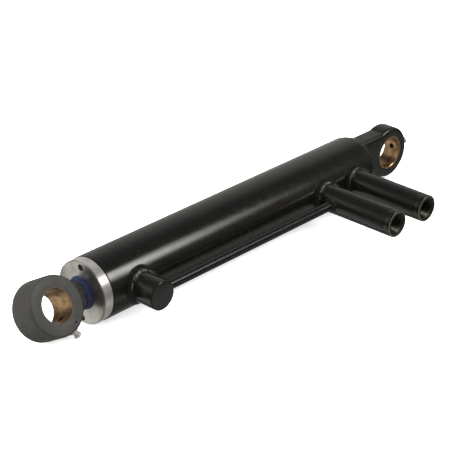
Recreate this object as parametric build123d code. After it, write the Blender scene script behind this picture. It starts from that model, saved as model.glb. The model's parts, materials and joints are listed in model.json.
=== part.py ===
from build123d import *

import math
import os

# Double-acting welded hydraulic cylinder, modelled retracted.
# Millimetres. The origin is the centre of the base pin bore, +X runs along the barrel towards the
# rod end, +Y is the base pin's axis and the way the two hose ports point, and +Z is up.

# Whole cylinder
PIN_TO_PIN = 569.0
STROKE = 300.0
PIN_RADIUS = 19.0

# Barrel
BARREL_RADIUS = 38.0
BORE_RADIUS = 31.5
BARREL_BASE_X = 67.0
BARREL_FRONT_X = 507.5
OIL_HOLE_RADIUS = 6.0
EDGE_BREAK = 0.8

# Base cap and base eye
CAP_RADIUS = 34.5
CAP_OUTER_X = 57.0
CAP_SPIGOT_END_X = 82.0
CAP_WELD_LEG = 7.5
BASE_EYE_RADIUS = 33.0
BASE_EYE_WIDTH = 24.5
BASE_EYE_BEVEL = 1.5
BASE_FITTING_ANGLE = 180.0
LUG_HALF_HEIGHT = 30.0
LUG_WELD_LEG = 6.0

# Pin bushings and grease fittings
BUSH_WALL = 2.5
BUSH_RECESS = 0.3
BUSH_CHAMFER = 0.5
GREASE_HOLE_RADIUS = 3.5
FITTING_THREAD_RADIUS = 4.85
FITTING_THREAD_LENGTH = 8.0
FITTING_HEX = 11.0
FITTING_HEX_LENGTH = 5.5
FITTING_NECK_RADIUS = 3.3
FITTING_HEAD_RADIUS = 4.3
FITTING_HEIGHT = 14.0

# Rod eye, turned on the rod as far as the rod happens to stand
ROD_EYE_RADIUS = 34.5
ROD_EYE_WIDTH = 38.0
ROD_EYE_BEVEL = 1.5
ROD_EYE_TURN = 31.0
ROD_EYE_WELD_LEG = 6.0
ROD_FITTING_ANGLE = 240.0
WITNESS_RADIUS = 1.6
WITNESS_DEPTH = 1.5

# Gland
GLAND_FRONT_X = 520.5
GLAND_RADIUS = 37.3
GLAND_THREAD_RADIUS = 33.5
GLAND_THREAD_START_X = 490.5
GLAND_INNER_X = 478.0
GLAND_CHAMFER = 2.0
SPANNER_HOLE_RADIUS = 3.5
SPANNER_HOLE_DEPTH = 8.0
SPANNER_CIRCLE_RADIUS = 30.8

# Seal grooves in the gland: (start, end, radius), measured along X
O_RING_GROOVE = (482.0, 487.0, 28.6)
WEAR_RING_GROOVE = (481.5, 491.5, 18.5)
ROD_SEAL_GROOVE = (496.0, 504.5, 21.0)
WIPER_GROOVE = (514.5, GLAND_FRONT_X, 19.2)
WIPER_STAND_OUT = 6.0
O_RING_SECTION = 3.2
BACKUP_RING_WIDTH = 1.6

# Rod and piston
ROD_RADIUS = 16.0
SPIGOT_RADIUS = 12.0
PISTON_START_X = 105.0
PISTON_LENGTH = 40.0
PISTON_RADIUS = 31.15
PISTON_BEVEL = 1.5
NUT_THICKNESS = 19.0
NUT_ACROSS_FLATS = 36.0
STOP_TUBE_WALL = 6.0
METAL_CLEARANCE = 0.35
FIT_CLEARANCE = 0.04
SIDE_CLEARANCE = 0.15

# Grooves round the piston, laid out like those in the gland
PISTON_END_X = PISTON_START_X + PISTON_LENGTH
PISTON_SEAL_GROOVE = (PISTON_START_X + 15.5, PISTON_START_X + 24.5, 25.75)
PISTON_WEAR_GROOVES = (
    (PISTON_START_X + 4.5, PISTON_START_X + 11.0, 29.0),
    (PISTON_START_X + 29.0, PISTON_START_X + 35.5, 29.0),
)
PISTON_O_RING_X = PISTON_START_X + 26.5
PISTON_O_RING_SECTION = 2.0
ENERGIZER_RADIUS = 28.2

# Ports, the stub at the rod end, and the tube between them
REAR_PORT_X = 97.5
FRONT_PORT_X = 154.0
PORT_END_Y = 146.0
PORT_RADIUS = 16.7
PORT_PIPE_BORE_RADIUS = 12.5
BOSS_HEAD_LENGTH = 8.0
BOSS_SPIGOT_LENGTH = 16.0
PORT_THREAD_RADIUS = 9.3
PORT_MOUTH_RADIUS = 12.5
STUB_X = 464.8
STUB_END_Y = 69.4
STUB_RADIUS = 17.5
STUB_BORE_RADIUS = 8.0
STUB_BORE_END_Y = 61.0
TUBE_Y = 56.6
TUBE_RADIUS = 6.0
TUBE_BORE_RADIUS = 4.0
TUBE_START_X = FRONT_PORT_X + PORT_PIPE_BORE_RADIUS + 0.6
TUBE_END_X = STUB_X - STUB_RADIUS + 5.0
SADDLE_WELD_LEG = 5.5
TUBE_WELD_LEG = 3.5

LIP_RADIUS = ROD_RADIUS + FIT_CLEARANCE
ROD_EYE_PLACE = Pos(PIN_TO_PIN, 0, 0) * Rot(ROD_EYE_TURN, 0, 0)


def turned(outline):
    """Solid of revolution about the X axis from (x, radius) points."""
    return revolve(make_face(Polyline(*outline, close=True)), Axis.X)


def ring(start, end, inner, outer):
    """Plain ring about the X axis."""
    return turned([(start, inner), (end, inner), (end, outer), (start, outer)])


def rod_between(start, end, radius):
    """Plain round bar about the X axis."""
    return turned([(start, 0), (end, 0), (end, radius), (start, radius)])


def across(x, shape):
    """Stand a shape made about the X axis on +Y, at station x along the barrel."""
    return Pos(x, 0, 0) * Rot(0, 0, 90) * shape


def o_ring(x, inner, outer):
    """Round-section ring about the X axis, centred on station x."""
    section = (outer - inner) / 2
    circle = Pos(x, inner + section) * Circle(section)
    return revolve(circle, Axis.X)


def hexagon_bar(start, end, across_flats):
    """Hexagonal bar along the X axis."""
    profile = RegularPolygon(across_flats / 2, 6, major_radius=False)
    return Pos(start, 0, 0) * Rot(0, 90, 0) * extrude(profile, end - start)


# Barrel weldment


def barrel_tube():
    tube = turned(
        [
            (BARREL_BASE_X, BORE_RADIUS),
            (GLAND_THREAD_START_X - 0.5, BORE_RADIUS),
            (GLAND_THREAD_START_X - 0.5, GLAND_THREAD_RADIUS),
            (BARREL_FRONT_X, GLAND_THREAD_RADIUS),
            (BARREL_FRONT_X, BARREL_RADIUS - EDGE_BREAK),
            (BARREL_FRONT_X - EDGE_BREAK, BARREL_RADIUS),
            (BARREL_BASE_X + EDGE_BREAK, BARREL_RADIUS),
            (BARREL_BASE_X, BARREL_RADIUS - EDGE_BREAK),
        ]
    )
    for x in (REAR_PORT_X, STUB_X):
        tube -= across(x, rod_between(BORE_RADIUS - 5, BARREL_RADIUS + 5, OIL_HOLE_RADIUS))
    return tube


def base_cap():
    return turned(
        [
            (CAP_OUTER_X, 0),
            (CAP_SPIGOT_END_X, 0),
            (CAP_SPIGOT_END_X, BORE_RADIUS - 2),
            (CAP_SPIGOT_END_X - 2, BORE_RADIUS),
            (BARREL_BASE_X, BORE_RADIUS),
            (BARREL_BASE_X, CAP_RADIUS),
            (CAP_OUTER_X + 1, CAP_RADIUS),
            (CAP_OUTER_X, CAP_RADIUS - 1),
        ]
    )


def base_cap_weld():
    return turned(
        [
            (BARREL_BASE_X - CAP_WELD_LEG, CAP_RADIUS),
            (BARREL_BASE_X, CAP_RADIUS),
            (BARREL_BASE_X, BARREL_RADIUS - EDGE_BREAK),
            (BARREL_BASE_X - CAP_WELD_LEG / 2, BARREL_RADIUS - 1.4),
            (BARREL_BASE_X - CAP_WELD_LEG + 1, CAP_RADIUS + 1.2),
        ]
    )


def lug_blank(width, half_height, start):
    """Plate from the eye's end of the lug to the cap, centred on y = 0."""
    length = CAP_OUTER_X - start
    return Pos(start + length / 2, 0, 0) * Box(length, width, 2 * half_height)


def base_eye():
    disc = Rot(0, 0, 90) * rod_between(-BASE_EYE_WIDTH / 2, BASE_EYE_WIDTH / 2, BASE_EYE_RADIUS)
    eye = disc + lug_blank(BASE_EYE_WIDTH, LUG_HALF_HEIGHT, 0)
    rims = eye.edges().filter_by_position(Axis.Y, BASE_EYE_WIDTH / 2, BASE_EYE_WIDTH / 2)
    rims += eye.edges().filter_by_position(Axis.Y, -BASE_EYE_WIDTH / 2, -BASE_EYE_WIDTH / 2)
    eye = chamfer([edge for edge in rims if edge.center().X < CAP_OUTER_X - 1], BASE_EYE_BEVEL)
    eye -= Rot(0, 0, 90) * rod_between(-BASE_EYE_WIDTH, BASE_EYE_WIDTH, PIN_RADIUS + BUSH_WALL)
    eye -= rod_between(-BASE_EYE_RADIUS - 1, -PIN_RADIUS, FITTING_THREAD_RADIUS)
    return eye


def base_eye_weld():
    """Fillet weld around the root of the lug, held inside the cap's edge."""
    leg = LUG_WELD_LEG
    width, height = BASE_EYE_WIDTH, 2 * LUG_HALF_HEIGHT
    toe = Plane.YZ.offset(CAP_OUTER_X - leg) * Rectangle(width, height)
    foot = Plane.YZ.offset(CAP_OUTER_X) * Rectangle(width + 2 * leg, height + 2 * leg)
    bead = loft([toe, foot]) & rod_between(0, CAP_OUTER_X, CAP_RADIUS - 1)
    return bead - lug_blank(BASE_EYE_WIDTH, LUG_HALF_HEIGHT, 0)


# Pin bushings and grease fittings, made about Y at the origin


def pin_bushing(eye_width, grease_angle):
    half = eye_width / 2 - BUSH_RECESS
    bush = turned(
        [
            (-half, PIN_RADIUS + BUSH_CHAMFER),
            (-half + BUSH_CHAMFER, PIN_RADIUS),
            (half - BUSH_CHAMFER, PIN_RADIUS),
            (half, PIN_RADIUS + BUSH_CHAMFER),
            (half, PIN_RADIUS + BUSH_WALL),
            (-half, PIN_RADIUS + BUSH_WALL),
        ]
    )
    drill = rod_between(PIN_RADIUS - 2, PIN_RADIUS + BUSH_WALL + 2, GREASE_HOLE_RADIUS)
    return Rot(0, 0, 90) * bush - Rot(0, -grease_angle, 0) * drill


def grease_fitting(seat_radius, angle):
    """Straight fitting screwed into an eye whose outside radius is seat_radius."""
    hex_top = seat_radius + FITTING_HEX_LENGTH
    tip = seat_radius + FITTING_HEIGHT
    corner = FITTING_HEX / math.sqrt(3)
    stem = turned(
        [
            (seat_radius - FITTING_THREAD_LENGTH, 0),
            (seat_radius - FITTING_THREAD_LENGTH, FITTING_THREAD_RADIUS - 0.5),
            (seat_radius - FITTING_THREAD_LENGTH + 0.5, FITTING_THREAD_RADIUS),
            (hex_top, FITTING_THREAD_RADIUS),
            (hex_top + 1, FITTING_NECK_RADIUS + 0.4),
            (hex_top + 3.5, FITTING_NECK_RADIUS),
            (hex_top + 5, FITTING_HEAD_RADIUS),
            (tip - 2, FITTING_HEAD_RADIUS),
            (tip, 1.5),
            (tip, 0),
        ]
    )
    nut = hexagon_bar(seat_radius, hex_top, FITTING_HEX)
    nut &= turned(
        [
            (seat_radius, 0),
            (seat_radius, corner - 0.7),
            (seat_radius + 0.7, corner),
            (hex_top - 0.7, corner),
            (hex_top, corner - 0.7),
            (hex_top, 0),
        ]
    )
    return Rot(0, -angle, 0) * (stem + nut)


# Gland and its seals


def gland():
    body = turned(
        [
            (GLAND_INNER_X, ROD_RADIUS + METAL_CLEARANCE),
            (GLAND_FRONT_X, ROD_RADIUS + METAL_CLEARANCE),
            (GLAND_FRONT_X, GLAND_RADIUS - GLAND_CHAMFER),
            (GLAND_FRONT_X - GLAND_CHAMFER, GLAND_RADIUS),
            (BARREL_FRONT_X + EDGE_BREAK, GLAND_RADIUS),
            (BARREL_FRONT_X, GLAND_RADIUS - EDGE_BREAK),
            (BARREL_FRONT_X, GLAND_THREAD_RADIUS),
            (GLAND_THREAD_START_X, GLAND_THREAD_RADIUS),
            (GLAND_THREAD_START_X, BORE_RADIUS),
            (GLAND_INNER_X + 1, BORE_RADIUS),
            (GLAND_INNER_X, BORE_RADIUS - 1),
        ]
    )
    start, end, radius = O_RING_GROOVE
    body -= ring(start, end, radius, BORE_RADIUS + 1)
    for start, end, radius in (WEAR_RING_GROOVE, ROD_SEAL_GROOVE, WIPER_GROOVE):
        body -= ring(start, end, ROD_RADIUS, radius)
    hole = rod_between(GLAND_FRONT_X - SPANNER_HOLE_DEPTH, GLAND_FRONT_X + 1, SPANNER_HOLE_RADIUS)
    for side in (1, -1):
        body -= Pos(0, 0, side * SPANNER_CIRCLE_RADIUS) * hole
    return body


def gland_o_ring():
    start, _, radius = O_RING_GROOVE
    return o_ring(start + O_RING_SECTION / 2, radius, BORE_RADIUS)


def gland_backup_ring():
    _, end, radius = O_RING_GROOVE
    return ring(end - BACKUP_RING_WIDTH, end, radius, BORE_RADIUS)


def split_ring(start, end, inner, outer, gap):
    """Wear ring with the gap that lets it be sprung into its groove."""
    slot = Box(2 * (end - start), gap, outer - inner + 4)
    slot = Pos((start + end) / 2, 0, (inner + outer) / 2) * slot
    return ring(start, end, inner, outer) - slot


def rod_wear_ring():
    start, end, radius = WEAR_RING_GROOVE
    return split_ring(start, end, LIP_RADIUS, radius, 1.5)


def rod_seal():
    """U-cup: the open side faces the oil."""
    start, end, radius = ROD_SEAL_GROOVE
    middle = (LIP_RADIUS + radius) / 2
    return turned(
        [
            (start, LIP_RADIUS),
            (end, LIP_RADIUS),
            (end, radius),
            (start, radius),
            (start, middle + 1.2),
            (start + 4, middle + 0.4),
            (start + 4, middle - 0.4),
            (start, middle - 1.2),
        ]
    )


def rod_wiper():
    start, end, radius = WIPER_GROOVE
    tip = end + WIPER_STAND_OUT
    return turned(
        [
            (start, LIP_RADIUS + 1.0),
            (start, radius),
            (end, radius),
            (end, radius - 0.8),
            (tip - 1.4, radius - 1.2),
            (tip, radius - 2.3),
            (tip, LIP_RADIUS),
            (tip - 3.5, LIP_RADIUS),
            (end, LIP_RADIUS + 1.0),
        ]
    )


# Ports, rod-end stub and transfer tube


def saddle_weld(x, bar_radius):
    """Bead around a bar that stands on the barrel at station x."""
    leg = SADDLE_WELD_LEG
    top = BARREL_RADIUS + leg - 1.0
    foot = math.sqrt(BARREL_RADIUS**2 - (bar_radius + leg) ** 2) - 1.0
    bead = turned(
        [
            (foot, bar_radius),
            (top, bar_radius),
            (top - 2.0, bar_radius + 1.6),
            (BARREL_RADIUS - 0.5, bar_radius + leg - 1.4),
            (foot, bar_radius + leg),
        ]
    )
    return across(x, bead) - rod_between(x - 60, x + 60, BARREL_RADIUS)


def port_pipe(x):
    end = PORT_END_Y - BOSS_HEAD_LENGTH
    pipe = turned(
        [
            (0, PORT_PIPE_BORE_RADIUS),
            (end, PORT_PIPE_BORE_RADIUS),
            (end, PORT_RADIUS - 0.6),
            (end - 0.6, PORT_RADIUS),
            (0, PORT_RADIUS),
        ]
    )
    return across(x, pipe) - rod_between(x - 60, x + 60, BARREL_RADIUS)


def port_boss(x):
    """Threaded end: a full-diameter head, and a spigot brazed into the pipe."""
    shoulder = PORT_END_Y - BOSS_HEAD_LENGTH
    mouth_depth = PORT_MOUTH_RADIUS - PORT_THREAD_RADIUS
    boss = turned(
        [
            (shoulder - BOSS_SPIGOT_LENGTH, PORT_THREAD_RADIUS),
            (PORT_END_Y - mouth_depth, PORT_THREAD_RADIUS),
            (PORT_END_Y, PORT_MOUTH_RADIUS),
            (PORT_END_Y, PORT_RADIUS - 1.0),
            (PORT_END_Y - 1.0, PORT_RADIUS),
            (shoulder + 0.6, PORT_RADIUS),
            (shoulder, PORT_RADIUS - 0.6),
            (shoulder, PORT_PIPE_BORE_RADIUS),
            (shoulder - BOSS_SPIGOT_LENGTH, PORT_PIPE_BORE_RADIUS),
        ]
    )
    return across(x, boss)


def front_port_pipe():
    """The front port's pipe is blind at the barrel, and takes the transfer tube in its side."""
    socket = Pos(0, TUBE_Y, 0) * rod_between(FRONT_PORT_X, FRONT_PORT_X + 30, TUBE_RADIUS)
    return port_pipe(FRONT_PORT_X) - socket


def rod_end_stub():
    bar = turned(
        [
            (0, 0),
            (STUB_END_Y, 0),
            (STUB_END_Y, STUB_RADIUS - 1.2),
            (STUB_END_Y - 1.2, STUB_RADIUS),
            (0, STUB_RADIUS),
        ]
    )
    bar -= rod_between(0, STUB_BORE_END_Y, STUB_BORE_RADIUS)
    bar = across(STUB_X, bar) - rod_between(STUB_X - 60, STUB_X + 60, BARREL_RADIUS)
    bar -= Pos(0, TUBE_Y, 0) * rod_between(STUB_X - 30, TUBE_END_X, TUBE_RADIUS)
    return bar - Pos(0, TUBE_Y, 0) * rod_between(STUB_X - 30, STUB_X, TUBE_BORE_RADIUS)


def transfer_tube():
    return Pos(0, TUBE_Y, 0) * ring(TUBE_START_X, TUBE_END_X, TUBE_BORE_RADIUS, TUBE_RADIUS)


def tube_weld(bar_x, bar_radius, towards):
    """Bead where the transfer tube enters the side of an upright bar; towards is +1 or -1."""
    leg = TUBE_WELD_LEG
    near = bar_x + towards * (math.sqrt(bar_radius**2 - (TUBE_RADIUS + leg) ** 2) - 1.0)
    far = bar_x + towards * (bar_radius + leg)
    bead = turned(
        [
            (near, TUBE_RADIUS),
            (far, TUBE_RADIUS),
            (far - towards * 1.4, TUBE_RADIUS + 1.1),
            (bar_x + towards * bar_radius, TUBE_RADIUS + leg - 1.0),
            (near, TUBE_RADIUS + leg),
        ]
    )
    bar = across(bar_x, rod_between(0, PORT_END_Y, bar_radius))
    return Pos(0, TUBE_Y, 0) * bead - bar


# Piston and what is on it


def piston():
    body = turned(
        [
            (PISTON_START_X, SPIGOT_RADIUS),
            (PISTON_END_X, SPIGOT_RADIUS),
            (PISTON_END_X, PISTON_RADIUS - PISTON_BEVEL),
            (PISTON_END_X - PISTON_BEVEL, PISTON_RADIUS),
            (PISTON_START_X + PISTON_BEVEL, PISTON_RADIUS),
            (PISTON_START_X, PISTON_RADIUS - PISTON_BEVEL),
        ]
    )
    for start, end, radius in (PISTON_SEAL_GROOVE, *PISTON_WEAR_GROOVES):
        body -= ring(start, end, radius, PISTON_RADIUS + 1)
    groove_radius = SPIGOT_RADIUS + PISTON_O_RING_SECTION
    half_groove = 0.8 * PISTON_O_RING_SECTION
    start, end = PISTON_O_RING_X - half_groove, PISTON_O_RING_X + half_groove
    return body - ring(start, end, SPIGOT_RADIUS - 1, groove_radius)


def piston_o_ring():
    return o_ring(PISTON_O_RING_X, SPIGOT_RADIUS, SPIGOT_RADIUS + PISTON_O_RING_SECTION)


def piston_seal_energizer():
    start, end, radius = PISTON_SEAL_GROOVE
    return ring(start + 0.5, end - 0.5, radius, ENERGIZER_RADIUS - FIT_CLEARANCE)


def piston_seal():
    start, end, _ = PISTON_SEAL_GROOVE
    outer = BORE_RADIUS - FIT_CLEARANCE
    return ring(start + SIDE_CLEARANCE, end - SIDE_CLEARANCE, ENERGIZER_RADIUS, outer)


def piston_wear_ring(groove):
    start, end, radius = groove
    inner, outer = radius + FIT_CLEARANCE, BORE_RADIUS - FIT_CLEARANCE
    return split_ring(start + SIDE_CLEARANCE, end - SIDE_CLEARANCE, inner, outer, 2.5)


def piston_nut():
    start = PISTON_START_X - NUT_THICKNESS
    corner = NUT_ACROSS_FLATS / math.sqrt(3)
    blank = hexagon_bar(start, PISTON_START_X, NUT_ACROSS_FLATS)
    blank &= turned(
        [
            (start, 0),
            (start, corner - 2),
            (start + 1.2, corner + 0.1),
            (PISTON_START_X - 1.2, corner + 0.1),
            (PISTON_START_X, corner - 2),
            (PISTON_START_X, 0),
        ]
    )
    return blank - rod_between(start - 1, PISTON_START_X + 1, SPIGOT_RADIUS)


def stop_tube():
    """Spacer between the piston and the gland that sets the stroke."""
    return ring(PISTON_END_X, GLAND_INNER_X - STROKE, ROD_RADIUS, ROD_RADIUS + STOP_TUBE_WALL)


def rod_eye_outside():
    blank = rod_between(-ROD_EYE_WIDTH, ROD_EYE_WIDTH, ROD_EYE_RADIUS)
    return ROD_EYE_PLACE * Rot(0, 0, 90) * blank


def rod():
    start = PISTON_START_X - NUT_THICKNESS - 2
    bar = turned(
        [
            (start, 0),
            (start, SPIGOT_RADIUS - 1.5),
            (start + 1.5, SPIGOT_RADIUS),
            (PISTON_END_X, SPIGOT_RADIUS),
            (PISTON_END_X, ROD_RADIUS),
            (PIN_TO_PIN, ROD_RADIUS),
            (PIN_TO_PIN, 0),
        ]
    )
    return bar - rod_eye_outside()


# Rod eye, made about Y at the origin and then put in its place


def rod_eye():
    half, seat = ROD_EYE_WIDTH / 2, PIN_RADIUS + BUSH_WALL
    eye = ring(-half, half, seat, ROD_EYE_RADIUS)
    rims = eye.edges().filter_by(GeomType.CIRCLE).filter_by(lambda edge: edge.radius > seat + 1)
    eye = chamfer(rims, ROD_EYE_BEVEL)
    drill = rod_between(seat - 2, ROD_EYE_RADIUS + 1, FITTING_THREAD_RADIUS)
    witness = rod_between(half - WITNESS_DEPTH, half + 1, WITNESS_RADIUS)
    witness = Pos((seat + ROD_EYE_RADIUS) / 2, 0, 0) * Rot(0, 0, 90) * witness
    return ROD_EYE_PLACE * (Rot(0, 0, 90) * eye - Rot(0, -ROD_FITTING_ANGLE, 0) * (drill + witness))


def rod_eye_weld():
    leg = ROD_EYE_WELD_LEG
    crown = PIN_TO_PIN - ROD_EYE_RADIUS - leg
    root = PIN_TO_PIN - 20
    bead = turned(
        [
            (crown, ROD_RADIUS),
            (root, ROD_RADIUS),
            (root, ROD_RADIUS + leg),
            (crown + leg + 0.5, ROD_RADIUS + leg - 1.5),
            (crown + 2, ROD_RADIUS + 1.5),
        ]
    )
    slab = Box(2 * ROD_EYE_RADIUS + 30, ROD_EYE_WIDTH - 2 * ROD_EYE_BEVEL, 2 * ROD_EYE_RADIUS)
    return (bead & ROD_EYE_PLACE * slab) - rod_eye_outside()


def all_parts():
    rear_groove, front_groove = PISTON_WEAR_GROOVES
    return {
        "barrel_tube": barrel_tube(),
        "base_cap": base_cap(),
        "base_cap_weld": base_cap_weld(),
        "base_eye": base_eye(),
        "base_eye_weld": base_eye_weld(),
        "base_eye_bushing": pin_bushing(BASE_EYE_WIDTH, BASE_FITTING_ANGLE),
        "base_grease_fitting": grease_fitting(BASE_EYE_RADIUS, BASE_FITTING_ANGLE),
        "gland": gland(),
        "gland_o_ring": gland_o_ring(),
        "gland_backup_ring": gland_backup_ring(),
        "rod_wear_ring": rod_wear_ring(),
        "rod_seal": rod_seal(),
        "rod_wiper": rod_wiper(),
        "rear_port_pipe": port_pipe(REAR_PORT_X),
        "rear_port_boss": port_boss(REAR_PORT_X),
        "rear_port_weld": saddle_weld(REAR_PORT_X, PORT_RADIUS),
        "front_port_pipe": front_port_pipe(),
        "front_port_boss": port_boss(FRONT_PORT_X),
        "front_port_weld": saddle_weld(FRONT_PORT_X, PORT_RADIUS),
        "rod_end_stub": rod_end_stub(),
        "rod_end_stub_weld": saddle_weld(STUB_X, STUB_RADIUS),
        "transfer_tube": transfer_tube(),
        "transfer_tube_port_weld": tube_weld(FRONT_PORT_X, PORT_RADIUS, 1),
        "transfer_tube_stub_weld": tube_weld(STUB_X, STUB_RADIUS, -1),
        "rod": rod(),
        "piston": piston(),
        "piston_nut": piston_nut(),
        "piston_o_ring": piston_o_ring(),
        "piston_seal_energizer": piston_seal_energizer(),
        "piston_seal": piston_seal(),
        "piston_rear_wear_ring": piston_wear_ring(rear_groove),
        "piston_front_wear_ring": piston_wear_ring(front_groove),
        "stop_tube": stop_tube(),
        "rod_eye": rod_eye(),
        "rod_eye_weld": rod_eye_weld(),
        "rod_eye_bushing": ROD_EYE_PLACE * pin_bushing(ROD_EYE_WIDTH, ROD_FITTING_ANGLE),
        "rod_grease_fitting": ROD_EYE_PLACE * grease_fitting(ROD_EYE_RADIUS, ROD_FITTING_ANGLE),
    }


os.makedirs("parts", exist_ok=True)
for name, shape in all_parts().items():
    export_step(shape, f"parts/{name}.step")
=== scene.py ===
import json
import math
import random

import bmesh
import bpy
from mathutils import Matrix, Vector

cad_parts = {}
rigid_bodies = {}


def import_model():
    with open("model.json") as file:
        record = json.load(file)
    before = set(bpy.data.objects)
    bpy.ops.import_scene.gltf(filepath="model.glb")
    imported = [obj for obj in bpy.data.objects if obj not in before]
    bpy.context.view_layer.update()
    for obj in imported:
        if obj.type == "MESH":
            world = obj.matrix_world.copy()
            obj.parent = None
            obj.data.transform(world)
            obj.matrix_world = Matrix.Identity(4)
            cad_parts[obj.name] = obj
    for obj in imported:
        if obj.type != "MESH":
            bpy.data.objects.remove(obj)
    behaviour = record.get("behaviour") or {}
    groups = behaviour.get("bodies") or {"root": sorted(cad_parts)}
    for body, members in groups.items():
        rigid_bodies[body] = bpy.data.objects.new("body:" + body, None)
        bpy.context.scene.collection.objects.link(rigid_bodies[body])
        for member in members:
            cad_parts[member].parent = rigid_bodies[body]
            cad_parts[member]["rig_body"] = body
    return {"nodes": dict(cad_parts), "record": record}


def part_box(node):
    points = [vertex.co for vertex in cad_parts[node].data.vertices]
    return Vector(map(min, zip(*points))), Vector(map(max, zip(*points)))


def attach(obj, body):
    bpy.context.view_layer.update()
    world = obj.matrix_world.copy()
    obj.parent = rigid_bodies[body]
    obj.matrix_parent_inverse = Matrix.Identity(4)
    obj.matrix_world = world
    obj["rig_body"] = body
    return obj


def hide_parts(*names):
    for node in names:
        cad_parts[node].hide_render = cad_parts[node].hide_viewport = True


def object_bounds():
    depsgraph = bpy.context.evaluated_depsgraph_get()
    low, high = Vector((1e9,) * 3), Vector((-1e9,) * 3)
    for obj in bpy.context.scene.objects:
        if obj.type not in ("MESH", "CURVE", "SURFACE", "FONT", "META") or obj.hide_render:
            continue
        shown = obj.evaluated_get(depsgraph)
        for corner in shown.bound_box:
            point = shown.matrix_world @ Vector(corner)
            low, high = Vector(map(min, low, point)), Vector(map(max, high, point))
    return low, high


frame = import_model()
CAD_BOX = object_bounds()

MM = 0.001

# Camera: places in metres, lens in millimetres
CAMERA_PLACE = (1.6121, 1.2506, 0.9112)
CAMERA_RIGHT = Vector((-0.6858, 0.7278, 0.0))
CAMERA_BACK = Vector((0.651, 0.6135, 0.447))
CAMERA_LENS = 138.76
CAMERA_SHIFT = (-0.0112, -0.0060)

# Studio panels: azimuths in degrees and heights from -1 to 1, each from dark to full and full to dark
SOFTBOX_LEVELS = (0.34, 0.62, 0.71, 0.76)
LAMP_SIDES = (102, 116, 131, 136.8)
LAMP_BRIGHTNESS = 8.5
DIFFUSER_SIDES = (102, 116, 139, 144.8)
DIFFUSER_BRIGHTNESS = 3.8
LEFT_PANEL_SIDES = (-70, -58, -40, -28)
LEFT_PANEL_LEVELS = (-0.95, -0.80, 0.50, 0.75)
LEFT_PANEL_BRIGHTNESS = 0.60
RIGHT_PANEL_SIDES = (95, 115, 181, 182)
RIGHT_PANEL_LEVELS = (-0.70, -0.52, -0.48, -0.36)
RIGHT_PANEL_BRIGHTNESS = 0.30
BACKDROP_SIDE = (math.radians(-100), math.radians(-122))
FILL_WATTS = 420.0
SIDE_FILL_WATTS = 70.0
FLOOR_HALF_SIZE = 15.0

# Sizes inside the part, in millimetres, which the boxes of its nodes don't give
BORE_RADIUS = 31.5
BARREL_STEP_X = 490.0
BARREL_EDGE = 0.9
GLAND_THREAD_X = 490.5
GLAND_THREAD_RADIUS = 33.5
METAL_CLEARANCE = 0.35
FIT_CLEARANCE = 0.04
WIPER_GROOVE_X = 514.5
OIL_HOLE_RADIUS = 6.0
LUG_HALF_HEIGHT = 30.0
EYE_EDGE = 0.3
BASE_EYE_ROUNDING = 4.0
ROD_EYE_ROUNDING = 3.0
ROD_EYE_HALF_WIDTH = 19.0
BUSH_WALL = 2.5
PORT_PIPE_BORE_RADIUS = 12.5
PORT_MOUTH_RADIUS = 12.5
PORT_THREAD_DEPTH = 1.16
PORT_THREAD_PITCH = 1.814
STUB_BORE_RADIUS = 8.0
STUB_BORE_END = 61.0
TUBE_BORE_RADIUS = 4.0
CAP_SPIGOT_END = 82.0
ROD_SPIGOT_RADIUS = 12.0
WIPER_RADIUS = 19.2
SPANNER_HOLE_RADIUS = 3.5
SPANNER_HOLE_DEPTH = 8.0
SPANNER_CIRCLE_RADIUS = 30.8
WITNESS_DEPTH = 1.5
WITNESS_FLOOR_RADIUS = 1.2
WITNESS_CUTTER_RADIUS = 2.2
FITTING_THREAD_RADIUS = 4.85
FITTING_THREAD_LENGTH = 8.0
FITTING_HEX = 11.0
FITTING_HEX_LENGTH = 5.5
FITTING_NECK_RADIUS = 3.3
FITTING_HEAD_RADIUS = 4.3
FITTING_HEIGHT = 14.0
FITTING_HEX_ROWS = 14

# Seal grooves in the gland: (start, end, radius), measured along the barrel
WEAR_RING_GROOVE = (481.5, 491.5, 18.5)
ROD_SEAL_GROOVE = (496.0, 504.5, 21.0)
O_RING_GROOVE = (482.0, 487.0, 28.6)

# Welds: legs are (up the bar, out on its host)
WELD_SINK = 0.3
WELD_CROWN = 0.10
CROWN_STEPS = 14
RIPPLE_LENGTH = 3.4
RIPPLE_HEIGHT = 0.9
RIPPLE_SIZES = (0.45, 1.4)
RIPPLE_SKEW = 0.12
RIPPLE_BOW = 0.55
STATIONS_PER_RIPPLE = 10
CAP_WELD_LEG = 7.5
LUG_WELD_LEG = 6.0
ROD_EYE_WELD_LEGS = (6.0, 5.5)
PORT_WELD_LEGS = (5.5, 6.0)
STUB_WELD_LEGS = (5.0, 6.0)
TUBE_WELD_LEGS = (3.2, 3.2)

# Mesh building: the angle in degrees, the reach in millimetres
ARC_STEPS = 6
SHARP_ANGLE = 32.0
CUTTER_REACH = 40.0
THREAD_ROWS_PER_TURN = 10


# Where things are


def span(node):
    """Lowest and highest corner of a CAD node, in millimetres."""
    low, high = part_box(node)
    return low / MM, high / MM


def half_size(node, axis):
    low, high = span(node)
    return (high[axis] - low[axis]) / 2


def centre(node):
    low, high = span(node)
    return (low + high) / 2


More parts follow.
